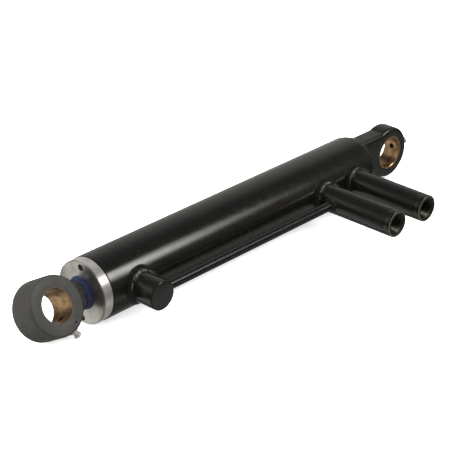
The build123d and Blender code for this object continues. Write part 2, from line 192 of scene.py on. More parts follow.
MOUNTS = {mount["name"]: mount for mount in frame["record"]["mounts"]}
ROD_PIN = Vector(MOUNTS["rod_pin_bore"]["pos_m"]) / MM
ROD_PIN_AXIS = Vector(MOUNTS["rod_pin_bore"]["axis"])
PIN_RADIUS = MOUNTS["base_pin_bore"]["dims"]["r_mm"]
PORT_THREAD_RADIUS = MOUNTS["rear_port"]["dims"]["r_mm"]
REAR_PORT_X = MOUNTS["rear_port"]["pos_m"][0] / MM
FRONT_PORT_X = MOUNTS["front_port"]["pos_m"][0] / MM
STUB_X = centre("rod_end_stub").x
TUBE_Y = centre("transfer_tube").y
BARREL_RADIUS = half_size("barrel_tube", 2)
PORT_RADIUS = half_size("rear_port_boss", 0)
STUB_RADIUS = half_size("rod_end_stub", 0)
TUBE_RADIUS = half_size("transfer_tube", 2)
ROD_EYE_RADIUS = half_size("rod_eye", 0)
ROD_RADIUS = half_size("rod", 1)

# Frames whose own X axis is the axis that a piece is turned about
QUARTER_TURN = Matrix.Rotation(math.pi / 2, 4, "Z")
HALF_TURN = Matrix.Rotation(math.pi, 4, "Z")
ALONG_BARREL = Matrix.Identity(4)
BASE_EYE_FRAME = QUARTER_TURN
ROD_EYE_TURN = Matrix.Rotation(math.atan2(ROD_PIN_AXIS.z, ROD_PIN_AXIS.y), 4, "X")
ROD_EYE_FRAME = Matrix.Translation(ROD_PIN) @ ROD_EYE_TURN @ QUARTER_TURN
TUBE_PLACE = Matrix.Translation((0, TUBE_Y, 0))

# Origin and direction of the barrel's axis, for its materials
BARREL_AXIS = ((0, 0, 0), (1, 0, 0))


def upright(x):
    """Frame of a bar that stands on the barrel at station x and points along +Y."""
    return Matrix.Translation((x, 0, 0)) @ QUARTER_TURN


# Camera, light and floor


def make_camera():
    data = bpy.data.cameras.new("camera")
    data.lens = CAMERA_LENS
    data.sensor_width = 36.0
    data.shift_x, data.shift_y = CAMERA_SHIFT
    data.clip_end = 60.0
    camera = bpy.data.objects.new("camera", data)
    back = CAMERA_BACK.normalized()
    right = CAMERA_RIGHT.normalized()
    turn = Matrix((right, back.cross(right), back)).transposed().to_4x4()
    camera.matrix_world = Matrix.Translation(CAMERA_PLACE) @ turn
    bpy.context.scene.collection.objects.link(camera)
    bpy.context.scene.camera = camera


def area_light(name, place, target, size, watts):
    data = bpy.data.lights.new(name, "AREA")
    data.shape = "RECTANGLE"
    data.size, data.size_y = size
    data.energy = watts
    light = bpy.data.objects.new(name, data)
    light.location = place
    light.rotation_mode = "QUATERNION"
    light.rotation_quaternion = (Vector(target) - Vector(place)).to_track_quat("-Z", "Y")
    light.visible_camera = False
    bpy.context.scene.collection.objects.link(light)
    return light


def band(sky, height, stops):
    """Grey by height, from -1 straight down to 1 straight up. Stops are (height, grey, warmth)."""
    ramp = sky.add("ShaderNodeValToRGB", {"Fac": sky.ease(height, -1.0, 1.0, kind="LINEAR")})
    elements = ramp.color_ramp.elements
    while len(elements) < len(stops):
        elements.new(0.5)
    for element, (z, grey, warmth) in zip(elements, stops):
        element.position = (z + 1) / 2
        element.color = (grey * (1 + warmth), grey, grey * (1 - 2 * warmth), 1)
    return ramp.outputs["Color"]


def panel(sky, azimuth, height, sides, levels, brightness):
    """Brightness of a soft-edged panel between those azimuths and heights."""
    a, b, c, d = (math.radians(side) for side in sides)
    across = sky.maths("MULTIPLY", sky.ease(azimuth, a, b), sky.ease(azimuth, d, c))
    a, b, c, d = levels
    up = sky.maths("MULTIPLY", sky.ease(height, a, b), sky.ease(height, d, c))
    return sky.maths("MULTIPLY", sky.maths("MULTIPLY", across, up), brightness)


def make_world():
    """Studio surroundings: a dark room, a pale backdrop on -Y, two panels, and a softbox high on +Y.

    The softbox is a lamp behind a wider diffuser. Azimuth counts from +X towards +Y.
    """
    world = bpy.data.worlds.new("studio")
    bpy.context.scene.world = world
    world.use_nodes = True
    sky = Nodes(world.node_tree)
    way = sky.add("ShaderNodeTexCoord").outputs["Generated"]
    x, y, z = sky.add("ShaderNodeSeparateXYZ", {0: way}).outputs
    azimuth = sky.maths("ARCTAN2", y, x)
    room = band(
        sky,
        z,
        (
            (-1.0, 0.16, 0.02),
            (-0.37, 0.12, 0.03),
            (-0.05, 0.02, 0.0),
            (0.10, 0.14, 0.03),
            (0.30, 0.18, 0.03),
            (0.55, 0.14, 0.0),
            (0.72, 0.06, -0.03),
            (0.85, 0.05, -0.03),
            (1.0, 0.10, -0.02),
        ),
    )
    backdrop = band(
        sky,
        z,
        (
            (-1.0, 0.30, 0.02),
            (-0.60, 0.50, 0.02),
            (-0.25, 0.70, 0.0),
            (0.0, 0.48, 0.03),
            (0.20, 0.50, 0.04),
            (0.46, 0.50, 0.02),
            (0.66, 0.38, 0.0),
            (0.80, 0.17, -0.03),
            (1.0, 0.15, -0.02),
        ),
    )
    behind = sky.maths("MULTIPLY", sky.ease(y, 0.05, -0.40), sky.ease(azimuth, *BACKDROP_SIDE))
    panels = 0.0
    for sides, levels, brightness in (
        (LEFT_PANEL_SIDES, LEFT_PANEL_LEVELS, LEFT_PANEL_BRIGHTNESS),
        (RIGHT_PANEL_SIDES, RIGHT_PANEL_LEVELS, RIGHT_PANEL_BRIGHTNESS),
        (DIFFUSER_SIDES, SOFTBOX_LEVELS, DIFFUSER_BRIGHTNESS),
        (LAMP_SIDES, SOFTBOX_LEVELS, LAMP_BRIGHTNESS),
    ):
        panels = sky.maths("ADD", panels, panel(sky, azimuth, z, sides, levels, brightness))
    light = sky.vector("SCALE", (1.0, 0.99, 0.95))
    sky.feed(light.node.inputs["Scale"], panels)
    total = sky.vector("ADD", sky.blend(behind, room, backdrop), light)
    sky.feed(world.node_tree.nodes["Background"].inputs["Color"], total)


def make_lights():
    """The fills light the floor and the matt surfaces, and stay out of the reflections."""
    make_world()
    fill = area_light("overhead_fill", (0.2, 0.1, 2.6), (0.2, 0.1, 0), (5.0, 5.0), FILL_WATTS)
    side = area_light("side_fill", (2.0, -1.1, 0.7), (0.56, 0.0, 0.0), (1.2, 1.2), SIDE_FILL_WATTS)
    for light in (fill, side):
        light.visible_glossy = False


def make_floor():
    mesh = bpy.data.meshes.new("floor")
    corners = [
        (x * FLOOR_HALF_SIZE, y * FLOOR_HALF_SIZE, CAD_BOX[0].z)
        for x, y in ((-1, -1), (1, -1), (1, 1), (-1, 1))
    ]
    mesh.from_pydata(corners, [], [(0, 1, 2, 3)])
    floor = bpy.data.objects.new("floor", mesh)
    floor.visible_glossy = False
    bpy.context.scene.collection.objects.link(floor)
    paper = Shader("floor_paper")
    paper.set("Base Color", (0.93, 0.93, 0.925))
    paper.set("Roughness", 0.7)
    paper.set("Emission Color", (1.0, 1.0, 1.0))
    paper.set("Emission Strength", 0.7)
    paper.relief(paper.noise(0.004), 0.00005)
    mesh.materials.append(paper.material)


# Materials


class Nodes:
    """Short ways to add nodes to a tree. Values are numbers, colours, vectors or sockets."""

    def __init__(self, tree):
        self.tree = tree

    def add(self, kind, inputs=None, **settings):
        node = self.tree.nodes.new(kind)
        for key, value in settings.items():
            setattr(node, key, value)
        for key, value in (inputs or {}).items():
            self.feed(node.inputs[key], value)
        return node

    def feed(self, socket, value):
        if isinstance(value, bpy.types.NodeSocket):
            self.tree.links.new(value, socket)
        elif socket.type == "RGBA":
            socket.default_value = (*value, 1)
        else:
            socket.default_value = value

    def maths(self, operation, a, b=0.0):
        return self.add("ShaderNodeMath", {0: a, 1: b}, operation=operation).outputs[0]

    def vector(self, operation, a, b=(0, 0, 0), output=0):
        return self.add("ShaderNodeVectorMath", {0: a, 1: b}, operation=operation).outputs[output]

    def ease(self, value, start, end, low=0.0, high=1.0, kind="SMOOTHSTEP"):
        """From low to high as value goes from start to end."""
        inputs = {"Value": value, "From Min": start, "From Max": end, "To Min": low, "To Max": high}
        return self.add("ShaderNodeMapRange", inputs, interpolation_type=kind).outputs["Result"]

    def blend(self, share, first, second):
        return self.add("ShaderNodeMix", {0: share, 6: first, 7: second}, data_type="RGBA").outputs[2]


class Shader(Nodes):
    """A Principled material. Lengths are in metres."""

    def __init__(self, name):
        self.material = bpy.data.materials.new(name)
        self.material.use_nodes = True
        super().__init__(self.material.node_tree)
        self.bsdf = self.tree.nodes["Principled BSDF"]
        self.place = self.add("ShaderNodeTexCoord").outputs["Object"]
        self.normal = None

    def set(self, name, value):
        self.feed(self.bsdf.inputs[name], value)

    def noise(self, size, detail=3.0, rough=0.5, at=None):
        """Noise from 0 to 1 whose features are about that size."""
        inputs = {"Vector": at or self.place, "Scale": 1 / size, "Detail": detail, "Roughness": rough}
        return self.add("ShaderNodeTexNoise", inputs).outputs["Fac"]

    def relief(self, height, depth):
        """Adds bumps of that depth on top of those already there."""
        inputs = {"Height": height, "Distance": depth, "Strength": 1.0}
        if self.normal:
            inputs["Normal"] = self.normal
        self.normal = self.add("ShaderNodeBump", inputs).outputs["Normal"]
        self.set("Normal", self.normal)

    def about(self, origin, axis):
        """Sockets for the place along an axis and the distance from it. The origin is in millimetres."""
        offset = self.vector("SUBTRACT", self.place, Vector(origin) * MM)
        along = self.vector("DOT_PRODUCT", offset, Vector(axis), "Value")
        away = self.vector("LENGTH", self.vector("CROSS_PRODUCT", offset, Vector(axis)), output="Value")
        return along, away

    def lines_about(self, origin, axis, width):
        """Fine tool marks that run round an axis."""
        along, away = self.about(origin, axis)
        at = self.add("ShaderNodeCombineXYZ", {0: along, 1: away}).outputs[0]
        return self.noise(width, 2.0, 0.6, at)

    def edges(self, radius):
        """1 on outside and inside edges, 0 on open faces."""
        round_normal = self.add("ShaderNodeBevel", {"Radius": radius}, samples=6).outputs["Normal"]
        flat_normal = self.add("ShaderNodeNewGeometry").outputs["Normal"]
        same = self.vector("DOT_PRODUCT", round_normal, flat_normal, "Value")
        return self.ease(same, 0.99, 0.85)


def paint_on(shader, dark, light, gloss, peel):
    """Colour, roughness and relief of sprayed enamel: (colour, roughness) sockets."""
    cloud = shader.noise(0.03, 4.0, 0.6)
    speck = shader.ease(shader.noise(0.0011, 2.0), 0.66, 0.74)
    colour = shader.blend(cloud, dark, light)
    dust = tuple(2.2 * channel + 0.012 for channel in light)
    colour = shader.blend(shader.maths("MULTIPLY", speck, 0.2), colour, dust)
    rough = shader.ease(shader.noise(0.012, 5.0, 0.65), 0.25, 0.8, gloss * 0.8, gloss * 1.35)
    rough = shader.maths("ADD", rough, shader.maths("MULTIPLY", speck, 0.12))
    shader.relief(shader.noise(0.0032, 2.0), peel)
    shader.relief(shader.noise(0.0007, 2.0), peel * 0.12)
    return colour, rough


def black_enamel(name, gloss):
    shader = Shader(name)
    colour, rough = paint_on(shader, (0.0020, 0.0020, 0.0018), (0.0042, 0.0042, 0.0037), gloss, 0.00003)
    chips = shader.ease(shader.noise(0.004, 5.0), 0.45, 0.7)
    worn = shader.maths("MULTIPLY", shader.edges(0.0007), chips)
    share = shader.maths("MULTIPLY", worn, 0.3)
    shader.set("Base Color", shader.blend(share, colour, (0.05, 0.048, 0.043)))
    shader.set("Roughness", shader.maths("ADD", rough, shader.maths("MULTIPLY", worn, 0.18)))
    shader.set("Specular IOR Level", 0.5)
    return shader.material


def eye_primer(name, dark, light):
    shader = Shader(name)
    colour, rough = paint_on(shader, dark, light, 0.52, 0.00004)
    chips = shader.ease(shader.noise(0.003, 5.0), 0.40, 0.7)
    worn = shader.maths("MULTIPLY", shader.edges(0.0009), chips)
    share = shader.maths("MULTIPLY", worn, 0.4)
    shader.set("Base Color", shader.blend(share, colour, (0.09, 0.086, 0.078)))
    shader.set("Roughness", rough)
    shader.set("Specular IOR Level", 0.35)
    return shader.material


def turned_steel(name, colour, roughness, anisotropic=0.0, skin=None):
    """Steel turned about the barrel's axis. Its outside, at the skin radius, is duller."""
    shader = Shader(name)
    fine_marks = shader.lines_about(*BARREL_AXIS, 0.00035)
    coarse_marks = shader.lines_about(*BARREL_AXIS, 0.0022)
    stain = shader.noise(0.011, 5.0, 0.6)
    dull = tuple(0.72 * channel for channel in colour)
    shader.set("Base Color", shader.blend(shader.ease(stain, 0.35, 0.8), colour, dull))
    rough = shader.ease(fine_marks, 0.2, 0.8, roughness * 0.75, roughness * 1.3)
    rough = shader.maths("ADD", rough, shader.ease(stain, 0.4, 0.9, 0.0, 0.10))
    if skin:
        away = shader.about(*BARREL_AXIS)[1]
        outside = shader.ease(away, (skin - 0.4) * MM, skin * MM)
        rough = shader.maths("ADD", rough, shader.maths("MULTIPLY", outside, 0.06))
        shader.set("Metallic", shader.ease(outside, 0.0, 1.0, 1.0, 0.91, kind="LINEAR"))
    else:
        shader.set("Metallic", 1.0)
    shader.set("Roughness", rough)
    shader.relief(coarse_marks, 0.00003)
    shader.relief(fine_marks, 0.000012)
    if anisotropic:
        shader.set("Anisotropic", anisotropic)
        shader.set("Anisotropic Rotation", 0.25)
        tangent = shader.add("ShaderNodeTangent", direction_type="RADIAL", axis="X")
        shader.set("Tangent", tangent.outputs["Tangent"])
    return shader.material


def hard_chrome():
    shader = Shader("hard_chrome")
    grind = shader.lines_about(*BARREL_AXIS, 0.0002)
    smear = shader.noise(0.02, 4.0, 0.6)
    shader.set("Base Color", shader.blend(smear, (0.80, 0.81, 0.82), (0.70, 0.70, 0.70)))
    rough = shader.ease(grind, 0.2, 0.8, 0.05, 0.10)
    shader.set("Roughness", shader.maths("ADD", rough, shader.ease(smear, 0.45, 0.9, 0.0, 0.08)))
    shader.set("Metallic", 1.0)
    shader.relief(grind, 0.000004)
    return shader.material


def zinc_plate():
    shader = Shader("zinc_plate")
    cloud = shader.noise(0.002, 4.0, 0.6)
    shader.set("Base Color", shader.blend(cloud, (0.60, 0.59, 0.54), (0.42, 0.41, 0.37)))
    shader.set("Roughness", shader.ease(cloud, 0.2, 0.8, 0.24, 0.42))
    shader.set("Metallic", 0.75)
    shader.relief(shader.noise(0.0004, 3.0), 0.00001)
    return shader.material


def bronze_bush(name, origin, axis, bare):
    """Bronze stained with grease, and paint further from the bore than the bare distance."""
    shader = Shader(name)
    away = shader.about(origin, axis)[1]
    marks = shader.lines_about(origin, axis, 0.0005)
    stain = shader.ease(shader.noise(0.006, 5.0, 0.65), 0.38, 0.72)
    grease = shader.ease(shader.noise(0.014, 3.0, 0.5), 0.50, 0.68)
    metal = shader.blend(stain, (0.60, 0.40, 0.21), (0.36, 0.235, 0.12))
    metal = shader.blend(shader.maths("MULTIPLY", grease, 0.55), metal, (0.14, 0.085, 0.04))
    ragged = shader.maths("ADD", away, shader.maths("MULTIPLY", shader.noise(0.003, 4.0), 0.0006))
    painted = shader.ease(ragged, (PIN_RADIUS + bare - 0.1) * MM, (PIN_RADIUS + bare + 0.1) * MM)
    shader.set("Base Color", shader.blend(painted, metal, (0.016, 0.0155, 0.0135)))
    rough = shader.ease(marks, 0.2, 0.8, 0.24, 0.36)
    rough = shader.maths("ADD", rough, shader.maths("MULTIPLY", stain, 0.12))
    shader.set("Roughness", shader.maths("ADD", rough, shader.maths("MULTIPLY", painted, 0.2)))
    shader.set("Metallic", shader.maths("SUBTRACT", 1.0, painted))
    shader.relief(marks, 0.000015)
    return shader.material


def port_end(name, x):
    """Oily steel on the end face and in the hole, a painted highlight as a lighter ring near the edge,
    and black paint outside.
    """
    shader = Shader(name)
    port_axis = ((x, 0, 0), (0, 1, 0))
    away = shader.about(*port_axis)[1]
    marks = shader.lines_about(*port_axis, 0.0004)
    stain = shader.noise(0.005, 5.0, 0.65)
    metal = shader.blend(shader.ease(stain, 0.35, 0.75), (0.105, 0.103, 0.082), (0.048, 0.047, 0.036))
    ragged = shader.maths("ADD", away, shader.maths("MULTIPLY", shader.noise(0.002, 4.0), 0.0007))
    # Painted highlight: a ring of lighter steel colour just inside the edge stands in for the edge
    # catching the light
    rim_highlight = shader.ease(ragged, (PORT_RADIUS - 1.9) * MM, (PORT_RADIUS - 1.1) * MM)
    metal = shader.blend(rim_highlight, metal, (0.42, 0.42, 0.36))
    outside = shader.ease(ragged, (PORT_RADIUS - 0.45) * MM, (PORT_RADIUS - 0.25) * MM)
    shader.set("Base Color", shader.blend(outside, metal, (0.0035, 0.0035, 0.0031)))
    shader.set("Metallic", shader.maths("SUBTRACT", 1.0, outside))
    bare = shader.ease(marks, 0.2, 0.8, 0.30, 0.42)
    bare = shader.maths("ADD", bare, shader.ease(stain, 0.4, 0.9, 0.0, 0.12))
    gloss = shader.ease(shader.noise(0.012, 5.0), 0.25, 0.8, 0.13, 0.22)
    apart = shader.maths("MULTIPLY", outside, shader.maths("SUBTRACT", gloss, bare))
    shader.set("Roughness", shader.maths("ADD", bare, apart))
    shader.relief(marks, 0.00002)
    return shader.material


def moulded(name, dark, light, roughness, grain=0.0006):
    """Seal materials: moulded or turned plastic and rubber."""
    shader = Shader(name)
    cloud = shader.noise(0.006, 4.0, 0.6)
    wet = shader.ease(shader.noise(0.012, 3.0), 0.45, 0.7)
    shader.set("Base Color", shader.blend(cloud, dark, light))
    rough = shader.ease(cloud, 0.2, 0.8, roughness * 0.85, roughness * 1.15)
    shader.set("Roughness", shader.maths("SUBTRACT", rough, shader.maths("MULTIPLY", wet, 0.12)))
    shader.relief(shader.noise(grain, 3.0), 0.00002)
    return shader.material


def wiper_rubber():
    shader = Shader("wiper_polyurethane")
    cloud = shader.noise(0.005, 4.0, 0.6)
    shader.set("Base Color", shader.blend(cloud, (0.006, 0.009, 0.024), (0.010, 0.015, 0.038)))
    shader.set("Roughness", shader.ease(cloud, 0.2, 0.8, 0.32, 0.48))
    shader.relief(shader.lines_about(*BARREL_AXIS, 0.0008), 0.00002)
    shader.relief(shader.noise(0.0005, 3.0), 0.00001)
    return shader.material


# Mesh building, in millimetres


def rounded(corners):
    """Outline from (x, r) or (x, r, fillet) corners, with an arc at each corner that has a fillet."""
    outline = []
    count = len(corners)
    for i, corner in enumerate(corners):
        here = Vector(corner[:2])
        if len(corner) < 3:
            outline.append(tuple(here))
            continue
        before = (Vector(corners[i - 1][:2]) - here).normalized()
        after = (Vector(corners[(i + 1) % count][:2]) - here).normalized()
        half = before.angle(after) / 2
        middle = here + (before + after).normalized() * (corner[2] / math.sin(half))
        start = here + before * (corner[2] / math.tan(half)) - middle
        end = here + after * (corner[2] / math.tan(half)) - middle
        sweep = start.angle_signed(end)
        for k in range(ARC_STEPS + 1):
            outline.append(tuple(middle + Matrix.Rotation(-sweep * k / ARC_STEPS, 2) @ start))
    return outline


def turned(outline, steps=128, shape=None, angles=None):
    """Vertices and faces of a closed outline of (x, r) points turned about X.

    shape(x, r, angle) may move each point in its own half-plane.
    """
    angles = angles or [2 * math.pi * k / steps for k in range(steps)]
    points, rings, faces = [], [], []
    for x, r in outline:
        if r < 1e-6:
            rings.append([len(points)] * len(angles))
            points.append((x, 0.0, 0.0))
            continue
        rings.append(range(len(points), len(points) + len(angles)))
        for a in angles:
            px, pr = shape(x, r, a) if shape else (x, r)
            points.append((px, pr * math.cos(a), pr * math.sin(a)))
    for i, ring in enumerate(rings):
        following = rings[(i + 1) % len(rings)]
        for k in range(len(angles)):
            j = (k + 1) % len(angles)
            face = []
            for corner in (ring[k], following[k], following[j], ring[j]):
                if corner not in face:
                    face.append(corner)
            if len(face) > 2:
                faces.append(face)
    return points, faces


def mesh_object(name, shape, place, sharp=SHARP_ANGLE):
    """Object from (vertices, faces) in millimetres, put in its place in the part's frame."""
    points, faces = shape
    mesh = bpy.data.meshes.new(name)
    mesh.from_pydata([(place @ Vector(p)) * MM for p in points], [], faces)
    tidy = bmesh.new()
    tidy.from_mesh(mesh)
    bmesh.ops.recalc_face_normals(tidy, faces=tidy.faces)
    tidy.to_mesh(mesh)
    tidy.free()
    mesh.shade_smooth()
    mesh.set_sharp_from_angle(angle=math.radians(sharp))
    obj = bpy.data.objects.new(name, mesh)
    bpy.context.scene.collection.objects.link(obj)
    return obj


def cut(piece, shape, place):
    """Takes a solid away from a piece."""
    tool = mesh_object("cutter", shape, place)
    change = piece.modifiers.new("cut", "BOOLEAN")
    change.operation = "DIFFERENCE"
    change.solver = "EXACT"
    change.object = tool
    bpy.context.view_layer.update()
    result = piece.evaluated_get(bpy.context.evaluated_depsgraph_get())
    mesh = bpy.data.meshes.new_from_object(result)
    piece.modifiers.clear()
    piece.data = mesh
    mesh.set_sharp_from_angle(angle=math.radians(SHARP_ANGLE))
    bpy.data.objects.remove(tool)


def bar(start, end, radius):
    return [(start, 0), (end, 0), (end, radius), (start, radius)]


def finish_piece(piece, node, material):
    """The piece takes the CAD node's place: it gets the material and the node's body, and the node is
    hidden.
    """
    piece.data.materials.clear()
    piece.data.materials.append(material)
    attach(piece, frame["nodes"][node]["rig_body"])
    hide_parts(node)
    return piece


def fine(node, shape, place, material, sharp=SHARP_ANGLE):
    """Finer piece in place of a CAD node."""
    return finish_piece(mesh_object(node + "_fine", shape, place, sharp), node, material)


# Weld beads


def weld_bead(node, stations, material, seed):
    """Rippled fillet along closed stations of (toe on the bar, root, toe on the host)."""
    dice = random.Random(seed)
    middles = [(toe_a + toe_b) / 2 for toe_a, _, toe_b in stations]
    lengths = [(middles[i] - middles[i - 1]).length for i in range(len(middles))]
    total = sum(lengths)
    ripples = max(6, round(total / RIPPLE_LENGTH))
    sizes = [dice.uniform(*RIPPLE_SIZES) for _ in range(ripples)]
    skews = [dice.uniform(-RIPPLE_SKEW, RIPPLE_SKEW) for _ in range(ripples)]
    points, faces, run = [], [], 0.0
    ring_size = CROWN_STEPS + 2
    for i, (toe_a, root, toe_b) in enumerate(stations):
        run += lengths[i] if i else 0.0
        out = (middles[i] - root).normalized()
        width = (toe_b - toe_a).length
        for k in range(CROWN_STEPS + 1):
            t = k / CROWN_STEPS
            across = 2 * t - 1
            phase = (run / total * ripples - RIPPLE_BOW * across * across) % ripples
            here = int(phase) % ripples
            wave = math.sin(math.pi * (phase - int(phase))) ** 0.7
            fade = 1 - across**4
            lift = WELD_CROWN * width * (1 - across * across)
            lift += RIPPLE_HEIGHT * sizes[here] * wave * fade
            lift += skews[here] * across * fade
            points.append(toe_a.lerp(toe_b, t) + out * lift)
        points.append(root - out * WELD_SINK)
        start = i * ring_size
        following = ((i + 1) % len(stations)) * ring_size
        for k in range(ring_size):
            j = (k + 1) % ring_size
            faces.append((start + k, start + j, following + j, following + k))
    return fine(node, (points, faces), Matrix.Identity(4), material, sharp=60.0)


def saddle_stations(place, bar_radius, host_radius, legs, host_half_width=None):
    """Stations where a bar along the frame's X meets a round host along its Y. The legs wander."""
    leg_up, leg_out = legs
    count = STATIONS_PER_RIPPLE * round(2 * math.pi * (bar_radius + leg_out / 2) / RIPPLE_LENGTH)
    stations = []
    for i in range(count):
        a = 2 * math.pi * i / count
        wander = 1 + 0.07 * math.sin(3 * a + 1.3) + 0.05 * math.sin(7 * a + bar_radius)
        reach = bar_radius + leg_out * wander
        if host_half_width:
            reach = min(reach, host_half_width / max(abs(math.cos(a)), 1e-3))
        reach = max(reach, bar_radius + 0.6)
        root_x = math.sqrt(host_radius**2 - (bar_radius * math.sin(a)) ** 2)
        toe_x = math.sqrt(host_radius**2 - (reach * math.sin(a)) ** 2)
        toe_bar = Vector((root_x + leg_up * wander, bar_radius * math.cos(a), bar_radius * math.sin(a)))
        root = Vector((root_x, bar_radius * math.cos(a), bar_radius * math.sin(a)))
        toe_host = Vector((toe_x, reach * math.cos(a), reach * math.sin(a)))
        stations.append(tuple(place @ point for point in (toe_bar, root, toe_host)))
    return stations


def ring_stations(toe_a, root, toe_b):
    """Stations round the barrel's axis from (x, r) points."""
    count = STATIONS_PER_RIPPLE * round(2 * math.pi * toe_b[1] / RIPPLE_LENGTH)
    stations = []
    for i in range(count):
        a = 2 * math.pi * i / count
        turn = [Vector((x, r * math.cos(a), r * math.sin(a))) for x, r in (toe_a, root, toe_b)]
        stations.append(tuple(turn))
    return stations


def lug_stations(half_width, half_height, face_x, cap_radius):
    """Stations round the lug's rectangular root on the cap's face. The toe stops at the cap's edge."""
    turn_length, step, least_reach = 3, 0.1, 0.3
    corners = [
        Vector((0, y * half_width, z * half_height)) for y, z in ((1, -1), (1, 1), (-1, 1), (-1, -1))
    ]
    outs = [Vector((0, y, z)) for y, z in ((1, 0), (0, 1), (-1, 0), (0, -1))]
    face = Vector((face_x, 0, 0))
    stations = []
    for side, start in enumerate(corners):
        end = corners[(side + 1) % 4]
        length = (end - start).length
        count = round(length / RIPPLE_LENGTH * STATIONS_PER_RIPPLE)
        for i in range(count + 1):
            t = i / count
            from_start = min(1.0, length * t / turn_length)
            from_end = min(1.0, length * (1 - t) / turn_length)
            way = outs[side] + outs[side - 1] * (1 - from_start) + outs[(side + 1) % 4] * (1 - from_end)
            way.normalize()
            root = start.lerp(end, t)
            reach = 0.0
            while reach < LUG_WELD_LEG and (root + way * (reach + step)).length < cap_radius:
                reach += step
            reach = max(reach, least_reach)
            toe_bar = root + face - Vector((LUG_WELD_LEG, 0, 0))
            stations.append((toe_bar, root + face, root + face + way * reach))
    return stations


# The pieces


def sit_on_barrel(x, r, angle):
    """Moves a bar's foot, marked by x = 0, up to the barrel's surface."""
    if x > 0:
        return x, r
    return math.sqrt(BARREL_RADIUS**2 - (r * math.sin(angle)) ** 2), r


def make_barrel(paint):
    low, high = span("barrel_tube")
    outline = rounded(
        [
            (low.x, BORE_RADIUS),
            (BARREL_STEP_X, BORE_RADIUS),
            (BARREL_STEP_X, GLAND_THREAD_RADIUS),
            (high.x, GLAND_THREAD_RADIUS),
            (high.x, BARREL_RADIUS, BARREL_EDGE),
            (low.x, BARREL_RADIUS, BARREL_EDGE),
        ]
    )
    tube = fine("barrel_tube", turned(outline, 192), ALONG_BARREL, paint)
    for x in (REAR_PORT_X, STUB_X):
        cut(tube, turned(bar(BORE_RADIUS - 5, BARREL_RADIUS + 5, OIL_HOLE_RADIUS), 48), upright(x))


def make_base_cap(paint, weld_paint):
    low = span("base_cap")[0]
    radius = half_size("base_cap", 2)
    rim_x = span("barrel_tube")[0].x
    outline = rounded(
        [
            (low.x, 0),
            (CAP_SPIGOT_END, 0),
            (CAP_SPIGOT_END, BORE_RADIUS, 1.5),
            (rim_x, BORE_RADIUS),
            (rim_x, radius),
            (low.x, radius, 1.2),
        ]
    )
    fine("base_cap", turned(outline, 144), ALONG_BARREL, paint)
    toe_a = (rim_x - CAP_WELD_LEG, radius)
    toe_b = (rim_x + 0.1, BARREL_RADIUS - BARREL_EDGE)
    weld_bead("base_cap_weld", ring_stations(toe_a, (rim_x, radius), toe_b), weld_paint, 3)


def eye_outline(width, radius, rounding):
    """Half-section of an eye that is open for its bushing."""
    hole = PIN_RADIUS + BUSH_WALL
    return rounded(
        [
            (-width, hole, EYE_EDGE),
            (-width, radius, rounding),
            (width, radius, rounding),
            (width, hole, EYE_EDGE),
        ]
    )


def make_base_eye(paint, weld_paint):
    """Lug plate: a turned eye whose outline runs on as a plate to the cap."""
    width = half_size("base_eye", 1)
    radius = half_size("base_eye", 2)
    cap_x = span("base_eye")[1].x
    middle = (PIN_RADIUS + BUSH_WALL + radius) / 2

    def plate(x, r, angle):
        if r < middle:
            return x, r
        inset = radius - r
        towards_cap = -math.cos(angle)
        if towards_cap <= 0:
            return x, r
        flat = (LUG_HALF_HEIGHT - inset) / max(abs(math.sin(angle)), 1e-6)
        return x, max(r, min(flat, cap_x / towards_cap))

    corner = math.atan2(LUG_HALF_HEIGHT, cap_x)
    angles = [2 * math.pi * k / 180 for k in range(180)] + [math.pi - corner, math.pi + corner]
    outline = eye_outline(width, radius, BASE_EYE_ROUNDING)
    fine("base_eye", turned(outline, shape=plate, angles=sorted(angles)), BASE_EYE_FRAME, paint, 40.0)
    stations = lug_stations(width, LUG_HALF_HEIGHT, cap_x, half_size("base_eye_weld", 2))
    weld_bead("base_eye_weld", stations, weld_paint, 5)


def make_rod_eye(paint, weld_paint):
    width = ROD_EYE_HALF_WIDTH
    outline = eye_outline(width, ROD_EYE_RADIUS, ROD_EYE_ROUNDING)
    eye = fine("rod_eye", turned(outline, 160), ROD_EYE_FRAME, paint)
    witness = [
        (width - WITNESS_DEPTH, 0),
        (width + 1, 0),
        (width + 1, WITNESS_CUTTER_RADIUS),
        (width - WITNESS_DEPTH, WITNESS_FLOOR_RADIUS),
    ]
    fitting = (centre("rod_grease_fitting") - ROD_PIN).normalized()
    place = ROD_PIN + fitting * (PIN_RADIUS + BUSH_WALL + ROD_EYE_RADIUS) / 2
    cut(eye, turned(witness, 32), Matrix.Translation(place) @ ROD_EYE_FRAME.to_3x3().to_4x4())
    back = ROD_EYE_FRAME @ QUARTER_TURN
    stations = saddle_stations(back, ROD_RADIUS, ROD_EYE_RADIUS, ROD_EYE_WELD_LEGS, width - 1.0)
    weld_bead("rod_eye_weld", stations, weld_paint, 7)


def groove(place, surface):
    """Corners of a (start, end, radius) groove in a surface at that radius."""
    start, end, radius = place
    return [(start, surface), (start, radius), (end, radius), (end, surface)]


